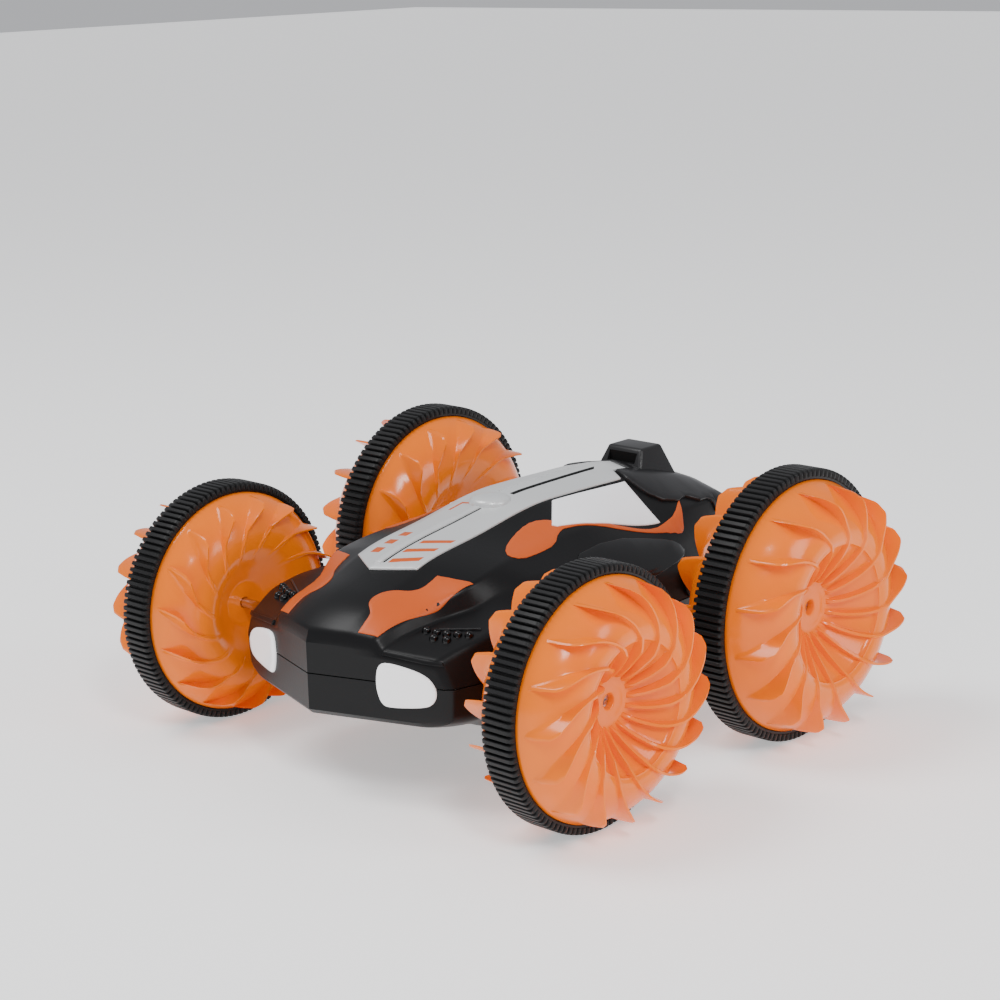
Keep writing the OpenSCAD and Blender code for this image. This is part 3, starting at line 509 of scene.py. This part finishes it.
front_lo, front_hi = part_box("tyre_front_left")
rear_lo, rear_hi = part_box("tyre_rear_left")
front_axle = ((front_lo.y + front_hi.y) / 2 / MM, (front_lo.z + front_hi.z) / 2 / MM)
rear_axle = ((rear_lo.y + rear_hi.y) / 2 / MM, (rear_lo.z + rear_hi.z) / 2 / MM)
AXLE_BORE_R = 5.4
SCREW_WELL_R = 3.1
SCREW_WELLS = ((46, -80), (-46, -80), (24, 86), (-24, 86))
bores = [cylinder("x", axle, AXLE_BORE_R, -70, 70) for axle in (front_axle, rear_axle)]
wells = [cylinder("z", p, SCREW_WELL_R, 10, 42) for p in SCREW_WELLS]
door_lo, door_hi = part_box("battery_door")
DOOR_GAP = 0.15 * MM
door = [c / MM for c in (door_lo.x - DOOR_GAP, door_hi.x + DOOR_GAP,
                         door_lo.y - DOOR_GAP, door_hi.y + DOOR_GAP)]
slot_lo, slot_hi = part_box("switch_slider")
SWITCH_TRAVEL = 4.0
slot_mid = (slot_lo.y + slot_hi.y) / 2 / MM + SWITCH_TRAVEL / 2

upper_verts, upper_faces = shell_mesh(True, WALL)
lower_verts, lower_faces = shell_mesh(False, WALL)
upper_obj = make("v_upper_shell", upper_verts, upper_faces, "black", "root", "black_body", ("upper_shell",),
                 sharp=30, cut=bores)
belly_cuts = [block(*door, 10, 30), block(-2.2, 2.2, slot_mid - 5.4, slot_mid + 5.4, 10, 30)]
lower_obj = make("v_lower_shell", lower_verts, lower_faces, "black", "root", "black_body", ("lower_shell",),
                 sharp=30, cut=bores + wells + belly_cuts)

# The finished shells as triangles, on which plates are laid
skin_verts, skin_faces = [], []
for shell in (upper_obj, lower_obj):
    bm = bmesh.new()
    bm.from_mesh(shell.data)
    bmesh.ops.triangulate(bm, faces=bm.faces)
    bm.to_mesh(shell.data)
    bm.free()
    base = len(skin_verts)
    skin_verts += [v.co / MM for v in shell.data.vertices]
    skin_faces += [tuple(base + i for i in f.vertices) for f in shell.data.polygons]
SKIN = BVHTree.FromPolygons(skin_verts, skin_faces)

RAYS = {"top": (lambda u, v: Vector((u, v, 200)), Vector((0, 0, -1)), lambda p: (p.x, p.y)),
        "bottom": (lambda u, v: Vector((u, v, -100)), Vector((0, 0, 1)), lambda p: (p.x, p.y)),
        "left": (lambda u, v: Vector((200, u, v)), Vector((-1, 0, 0)), lambda p: (p.y, p.z)),
        "right": (lambda u, v: Vector((-200, u, v)), Vector((1, 0, 0)), lambda p: (p.y, p.z)),
        "front": (lambda u, v: Vector((u, -300, v)), Vector((0, 1, 0)), lambda p: (p.x, p.z)),
        "back": (lambda u, v: Vector((u, 300, v)), Vector((0, -1, 0)), lambda p: (p.x, p.z))}


def on_skin(view, u, v):
    """The point of the body under (u, v) of a view, and the mean normal around it."""
    start, way, _ = RAYS[view]
    hit = SKIN.ray_cast(start(u, v), way)
    if hit[0] is None:
        near = SKIN.find_nearest(start(u, v) + way * 150)
        return near[0], -way
    total = Vector((0, 0, 0))
    for du, dv in ((0, 0), (1.4, 0), (-1.4, 0), (0, 1.4), (0, -1.4)):
        other = SKIN.ray_cast(start(u + du, v + dv), way)
        if other[0] is not None and (other[0] - hit[0]).length < 4:
            n = other[1]
            total += n if n.dot(way) < 0 else -n
    return hit[0], total.normalized() if total.length else -way


def smooth_closed(pts, times=2, keep=()):
    """Chaikin corner cutting of a closed outline, apart from the corners in keep."""
    pts = [tuple(p) for p in pts]
    keep = {pts[i] for i in keep}
    for _ in range(times):
        out = []
        for i, p in enumerate(pts):
            q, o = pts[(i + 1) % len(pts)], pts[i - 1]
            if p in keep:
                out.append(p)
                continue
            out.append((0.75 * p[0] + 0.25 * o[0], 0.75 * p[1] + 0.25 * o[1]))
            out.append((0.75 * p[0] + 0.25 * q[0], 0.75 * p[1] + 0.25 * q[1]))
        pts = out
    return pts


def resample(pts, step):
    """A closed outline with points at most step apart."""
    out = []
    for i, p in enumerate(pts):
        q = pts[(i + 1) % len(pts)]
        n = max(1, int(math.ceil(math.dist(p, q) / step)))
        out += [(p[0] + (q[0] - p[0]) * t / n, p[1] + (q[1] - p[1]) * t / n) for t in range(n)]
    return out


def area(pts):
    """Signed area of a closed outline, positive if it runs anticlockwise."""
    return 0.5 * sum(p[0] * q[1] - q[0] * p[1] for p, q in zip(pts, pts[1:] + pts[:1]))


def inset(pts, d):
    """A closed anticlockwise outline moved inwards by d."""
    n, out = len(pts), []
    for i, p in enumerate(pts):
        a, b = pts[i - 1], pts[(i + 1) % n]
        e = Vector((b[0] - a[0], b[1] - a[1]))
        if e.length < 1e-9:
            out.append(p)
            continue
        e.normalize()
        out.append((p[0] - e.y * d, p[1] + e.x * d))
    return out


def plate(name, pts, view, look, height, slot=None, replaces=(), bevel=0.3, step=2.5, sink=0.5, mirror=False,
          sharp=34):
    """A thin plate with a rounded edge that lies on the body inside the outline pts."""
    if mirror:
        pts = [(-u, v) for u, v in pts] if view in ("top", "front", "bottom", "back") else pts
        view = {"left": "right"}.get(view, view)
    if area(pts) < 0:
        pts = pts[::-1]
    rim = resample(pts, step)
    n = len(rim)
    rings = [(rim, -sink), (rim, height - bevel), (inset(rim, bevel * 0.35), height - bevel * 0.35)]
    top = inset(rim, bevel)
    us, vs = [p[0] for p in top], [p[1] for p in top]
    cloud = [Vector(p) for p in top]
    u = min(us) + step * 0.5
    while u < max(us):
        v = min(vs) + step * 0.5
        while v < max(vs):
            if inside((u, v), top) and min((u - a) ** 2 + (v - b) ** 2 for a, b in top) > (0.55 * step) ** 2:
                cloud.append(Vector((u, v)))
            v += step
        u += step
    edges = [(i, (i + 1) % n) for i in range(n)]
    flat, _, tris, origin, _, _ = delaunay_2d_cdt(cloud, edges, [list(range(n))], 1, 1e-6)
    place = {}

    def lift(p, h):
        key = (round(p[0], 5), round(p[1], 5))
        if key not in place:
            place[key] = on_skin(view, p[0], p[1])
        base, normal = place[key]
        return tuple(base + normal * h)

    verts = [lift(p, h) for ring, h in rings for p in ring]
    faces = grid_faces(3, n, wrap=True)
    start = len(verts)
    verts += [lift(p, height) for p in flat]
    index = {}
    for i, o in enumerate(origin):
        for source in o:
            index[source] = start + i
    faces += [tuple(start + i for i in f) for f in tris]
    faces += [(2 * n + i, 2 * n + (i + 1) % n, index[(i + 1) % n], index[i]) for i in range(n)]
    return make(name, verts, faces, look, "root", slot, replaces, sharp=sharp, merge=0.002)


def inside(p, poly):
    """Whether p lies inside a closed outline."""
    x, y = p
    hit = False
    for (x1, y1), (x2, y2) in zip(poly, poly[1:] + poly[:1]):
        if (y1 > y) != (y2 > y) and x < (x2 - x1) * (y - y1) / (y2 - y1) + x1:
            hit = not hit
    return hit


def both(fn):
    """Builds what fn makes on the left and, mirrored, on the right."""
    for mirror, hand in ((False, "left"), (True, "right")):
        fn(mirror, hand)


# Spine strip, its marks, its rib and the round boss
FILM_BEVEL = 0.04
SPINE_FILM = 0.86
plate("v_spine_panel", [(0, -74.8), (15.8, -65.2), (16, -42.6), (16, 53.5), (9, 57), (9, 66), (-9, 66), (-9, 57),
                        (-16, 53.5), (-16, -42.6), (-15.8, -65.2)], "top", "silver", 0.8, "silver_paint",
      ("spine_panel",), bevel=0.35)
for i, y in enumerate((-61.5, -54.3, -46.6)):
    plate(f"v_spine_square_{i}", [(-10.8, y - 1.9), (-6.2, y - 1.9), (-6.2, y + 1.9), (-10.8, y + 1.9)], "top",
          "mark", SPINE_FILM, "orange_switch", bevel=FILM_BEVEL, step=1.6)
STRIPES = ((3.6, -67.2, 13.2, -60.2), (3.4, -59.4, 13.2, -52.0), (4.0, -51.0, 13.6, -43.2))
for i, (x0, y0, x1, y1) in enumerate(STRIPES):
    plate(f"v_spine_stripe_{i}", [(x0, y0 - 1.3), (x1, y1 - 1.3), (x1, y1 + 1.5), (x0, y0 + 1.5)], "top",
          "mark", SPINE_FILM, "orange_switch", bevel=FILM_BEVEL, step=1.6)
plate("v_spine_mark", [(-10.6, -20.5), (-9.3, -20.5), (-9.3, -13.5), (-4.6, -13.5), (-4.6, -12.2),
                       (-10.6, -12.2)], "top", "mark", SPINE_FILM, "orange_switch", bevel=FILM_BEVEL, step=1.5)
plate("v_spine_rib", [(-0.9, -71.5), (1.7, -70.5), (2.3, -16), (-0.4, -16)], "top", "silver", 1.5, "silver_paint",
      bevel=0.5, step=2.0)
# A dark strip painted as the shade beside the rib.
plate("v_spine_rib_shade", [(1.9, -69.5), (2.5, -69), (3.1, -16), (2.5, -16)], "top", "dark", 0.88, "black_body",
      bevel=0.03, step=2.0)
# The slot is a flat dark plate painted as its shade.
plate("v_spine_slot", [(2.2, 1.5), (4.2, 1.5), (4.7, 50), (3.0, 52)], "top", "dark", 0.9, "black_body",
      bevel=0.05, step=2.5)
plate("v_spine_slot_lip", [(-4.4, 2.0), (-3.2, 2.0), (-3.2, 52), (-4.4, 52)], "top", "silver", 1.2,
      "silver_paint", bevel=0.3, step=2.5)


BOSS_Y = -7.6


def at_boss(x, y, h):
    return (x, y + BOSS_Y, h)


verts, faces = lathe([(0.01, 96.35), (3, 96.3), (5.6, 96.1), (7.3, 95.6), (8.1, 94.9), (8.4, 94.0),
                      (8.5, 92.6), (9.5, 92.3), (9.7, 91.8), (9.7, 88.5), (0.01, 88.5)], at_boss)
make("v_spine_boss", verts, faces, "silver", "root", "silver_paint", sharp=50)


# Windows, films, lenses and side panels, each once per side
WINDOW = [(17.3, 9.6), (17.3, 54.2), (33.6, 57), (33.0, 40), (31.8, 18), (28.6, -0.4), (27.4, -2.2)]
WAVE = [(18.9, -99.6), (26.1, -96.9), (30.6, -76.2), (36.8, -57.0), (23.7, -62.5), (23.4, -69.5), (20.8, -74),
        (17.0, -77.4), (13.9, -81.6), (12.9, -85.8), (13.9, -89.3), (16.8, -91.2), (18.2, -92.6)]
BLOB = [(33.4, -34.0), (28.6, -30.8), (24.5, -21.5), (22.2, -11.5), (22.9, -4.5), (26.0, 2.0), (32.3, 26.0),
        (34.3, 41.0), (35.0, 52.0), (34.0, 60.5), (33.2, 67.5), (28.8, 75.6), (32.8, 72.6), (37.6, 68.0),
        (37.6, 62.0), (36.6, 52.0), (35.4, 40.0), (33.9, 25.0), (29.9, 2.6), (31.6, -3.4), (35.2, -9.0),
        (36.4, -19.0), (36.6, -30.0)]
LENS = [(28.0, 55.4), (31, 57), (40, 55.6), (46, 53.8), (49.5, 50.8), (50.6, 47), (49.4, 43.4), (46, 41.2),
        (32, 39.6), (29.2, 40.8), (27.5, 45), (27.1, 50)]
SIDE_PANEL = [(-8, 77.0), (20, 78.6), (50, 72.2), (60, 69.0), (62, 64.5), (50, 62.5), (-2, 60), (-12, 66)]
BODY_FILM = 0.3


def sided(mirror, hand):
    plate(f"v_window_{hand}", WINDOW, "top", "white", 0.75, "white_panel", (f"window_{hand}",), bevel=0.35,
          mirror=mirror)
    plate(f"v_wave_{hand}", smooth_closed(WAVE, 2, (0, 1, 3, 4)), "top", "mark", BODY_FILM, "orange_switch",
          bevel=0.1, step=1.5, mirror=mirror)
    plate(f"v_blob_{hand}", smooth_closed(BLOB, 1, (11,)), "top", "mark", BODY_FILM, "orange_switch",
          bevel=0.1, step=1.4, mirror=mirror)
    plate(f"v_headlight_{hand}", smooth_closed(LENS, 2), "front", "lens", 0.85, "headlight_white",
          (f"headlight_{hand}",), bevel=0.5, step=1.6, mirror=mirror)
    plate(f"v_side_panel_{hand}", smooth_closed(SIDE_PANEL, 1), "left", "gloss", 0.6, "black_body",
          bevel=0.3, step=3.0, mirror=mirror)


both(sided)


# Rear cowl and scoop
COWL = [(9.4, 66.4), (9.4, 58.5), (16.6, 56.0), (22.8, 60.5), (27.4, 66.5), (29.5, 74.5), (28.2, 80.2),
        (29.8, 83.2), (31.6, 86.0), (31.2, 91.0), (32.4, 96.0), (31.0, 101.0), (28.6, 105.2), (0, 105.4)]
cowl_outline = COWL + [(-x, y) for x, y in COWL[::-1] if x > 0]
plate("v_rear_cowl", cowl_outline, "top", "cowl", 1.35, "black_cowl", ("rear_cowl",), bevel=0.6, step=2.4)


def frustum(name, base, top, round_=1.2):
    """A block with a rectangular base and a smaller top, given as (x, y0, y1, z), with bevelled edges."""
    (bx, b0, b1, bz), (tx, t0, t1, tz) = base, top
    verts = [(-bx, b0, bz), (bx, b0, bz), (bx, b1, bz), (-bx, b1, bz),
             (-tx, t0, tz), (tx, t0, tz), (tx, t1, tz), (-tx, t1, tz)]
    faces = [(0, 3, 2, 1), (4, 5, 6, 7), (0, 1, 5, 4), (1, 2, 6, 5), (2, 3, 7, 6), (3, 0, 4, 7)]
    me = bpy.data.meshes.new(name)
    me.from_pydata(verts, [], faces)
    bm = bmesh.new()
    bm.from_mesh(me)
    bmesh.ops.bevel(bm, geom=bm.edges[:], offset=round_, segments=3, profile=0.6, affect="EDGES")
    bm.to_mesh(me)
    bm.free()
    return [tuple(v.co) for v in me.vertices], [tuple(p.vertices) for p in me.polygons]


scoop_cut = block(-7.4, 7.4, 62, 84, 94.2, 98.4)
verts, faces = frustum("scoop", (14, 68, 95.5, 84), (9, 76, 89, 100.4))
make("v_roof_scoop", verts, faces, "cowl", "root", "black_cowl", ("roof_scoop",), sharp=40, merge=0,
     cut=[scoop_cut])
# The grille is a plain block in the painted-shade dark material, darker than the cowl around it.
verts, faces = block(-7.2, 7.2, 75, 83, 94.3, 98.3)
make("v_scoop_grille", verts, faces, "dark", "root", "black_cowl", merge=0)


# Axle bosses, and the bead clusters on the headlight blocks
BEADS = [(34.6, -80.2), (38.8, -79.2), (42.8, -78.0), (46.6, -76.2), (50.4, -74.2), (40.6, -82.6),
         (45.6, -81.0)]
BEAD = [(0.01, 1.9), (0.8, 1.75), (1.4, 1.25), (1.7, 0.5), (1.75, -0.6), (0.01, -0.6)]


def boss_parts(mirror, hand):
    side = -1 if mirror else 1
    for end, axle, x0, x1 in (("front", front_axle, 52, 60.5), ("rear", rear_axle, 43, 52)):
        profile = [(4.1, x0), (4.1, x1 - 0.5), (4.5, x1), (6.0, x1), (6.45, x1 - 0.5), (6.5, x1 - 2), (6.5, x0)]
        profile.append(profile[0])

        def at(x, y, h, axle=axle, side=side):
            return (side * h, axle[0] + x, axle[1] + y)

        verts, faces = lathe(profile, at, 48)
        make(f"v_axle_boss_{end}_{hand}", verts, faces, "black", "root", "black_body", sharp=40)
    for i, (x, y) in enumerate(BEADS):
        base, _ = on_skin("top", side * x, y)

        def at(x, y, h, base=base):
            return (base.x + x, base.y + y, base.z + h)

        verts, faces = lathe(BEAD, at, 24)
        make(f"v_bead_{hand}_{i}", verts, faces, "gloss", "root", "black_body", sharp=50)
    plate(f"v_ledge_{hand}", [(36.2, -77.8), (51.0, -68.2), (51.5, -68.9), (36.6, -78.5)], "top", "cowl", 0.8,
          "black_body", bevel=0.3, step=2, mirror=mirror)
    plate(f"v_block_lip_{hand}", [(29.5, 60.8), (51.5, 58.6), (52.0, 57.2), (29.5, 59.2)], "front", "black", 0.7,
          "black_body", bevel=0.3, step=2, mirror=mirror)


both(boss_parts)


# Battery door, its ribs, and the switch bezel
verts, faces = frustum("door", (-door_lo.x / MM, door_lo.y / MM, door_hi.y / MM, 19.0),
                       (-door_lo.x / MM, door_lo.y / MM, door_hi.y / MM, 21.2), round_=0.4)
make("v_battery_door", verts, faces, "black", "root", "black_body", ("battery_door",), sharp=40, merge=0,
     cut=[cylinder("z", (0, 51), 3.0, 10, 20.0, 32), cylinder("z", (0, 51), 1.4, 10, 30, 24)]
     + [block(-13, 13, y, y + 1.2, 18.0, 19.5) for y in (9, 13, 17, 21, 25)])
make("v_switch_bezel", *frustum("bezel", (4.6, slot_mid - 7.8, slot_mid + 7.8, 18.5),
                                (4.6, slot_mid - 7.8, slot_mid + 7.8, 19.6), round_=0.3),
     "black", "root", "black_body", sharp=40, merge=0,
     cut=[block(-2.3, 2.3, slot_mid - 5.5, slot_mid + 5.5, 10, 30)])


# ------------------------------------------------------------------ stage, light and camera

def area_light(name, place, aim, w, h, power):
    """A white rectangular light at place, turned towards aim; metres and watts."""
    data = bpy.data.lights.new(name, "AREA")
    data.shape, data.size, data.size_y, data.energy = "RECTANGLE", w, h, power
    obj = bpy.data.objects.new(name, data)
    bpy.context.scene.collection.objects.link(obj)
    obj.location = place
    obj.rotation_euler = (Vector(aim) - Vector(place)).to_track_quat("-Z", "Y").to_euler()


world = bpy.data.worlds.new("studio")
bpy.context.scene.world = world
world.use_nodes = True
world.node_tree.nodes["Background"].inputs["Color"].default_value = (0.95, 0.96, 1.0, 1)
world.node_tree.nodes["Background"].inputs["Strength"].default_value = 0.55

area_light("key", (-0.5, -0.55, 1.3), (0, 0, 0.05), 0.6, 0.6, 11)
area_light("window", (0.78, -0.52, 0.97), (0.11, -0.09, 0.077), 0.2, 0.34, 6)
area_light("fill", (1.3, 0.3, 0.8), (0, 0, 0.05), 0.5, 0.5, 5)

floor_mesh = bpy.data.meshes.new("floor")
floor_mesh.from_pydata([(-6, -6, 0), (6, -6, 0), (6, 6, 0), (-6, 6, 0)], [], [(0, 1, 2, 3)])
floor_mesh.materials.append(new_material("floor_white", (0.95, 0.95, 0.95), 0.7, vary=0.004, spec=0.1,
                                         painted_glow=0.55))
floor = bpy.data.objects.new("floor", floor_mesh)
bpy.context.scene.collection.objects.link(floor)

# The camera stands where the photograph's wheels put it; place in metres, roll in degrees
CAMERA_PLACE = (0.5916, -0.6356, 0.3143)
CAMERA_WAY = (-0.6612, 0.7082, -0.2473)
CAMERA_ROLL = -1.4815
CAMERA_LENS = 81.06
cam_data = bpy.data.cameras.new("camera")
cam_data.lens = CAMERA_LENS
cam_data.sensor_width = 36
cam_data.clip_start = 0.01
cam = bpy.data.objects.new("camera", cam_data)
bpy.context.scene.collection.objects.link(cam)
forward = Vector(CAMERA_WAY).normalized()
right = forward.cross(Vector((0, 0, 1))).normalized()
up = right.cross(forward)
roll = math.radians(CAMERA_ROLL)
right, up = (math.cos(roll) * right + math.sin(roll) * up), (-math.sin(roll) * right + math.cos(roll) * up)
rotation = Matrix((right, up, -forward)).transposed().to_4x4()
cam.matrix_world = Matrix.Translation(CAMERA_PLACE) @ rotation
bpy.context.scene.camera = cam

bpy.context.view_layer.update()
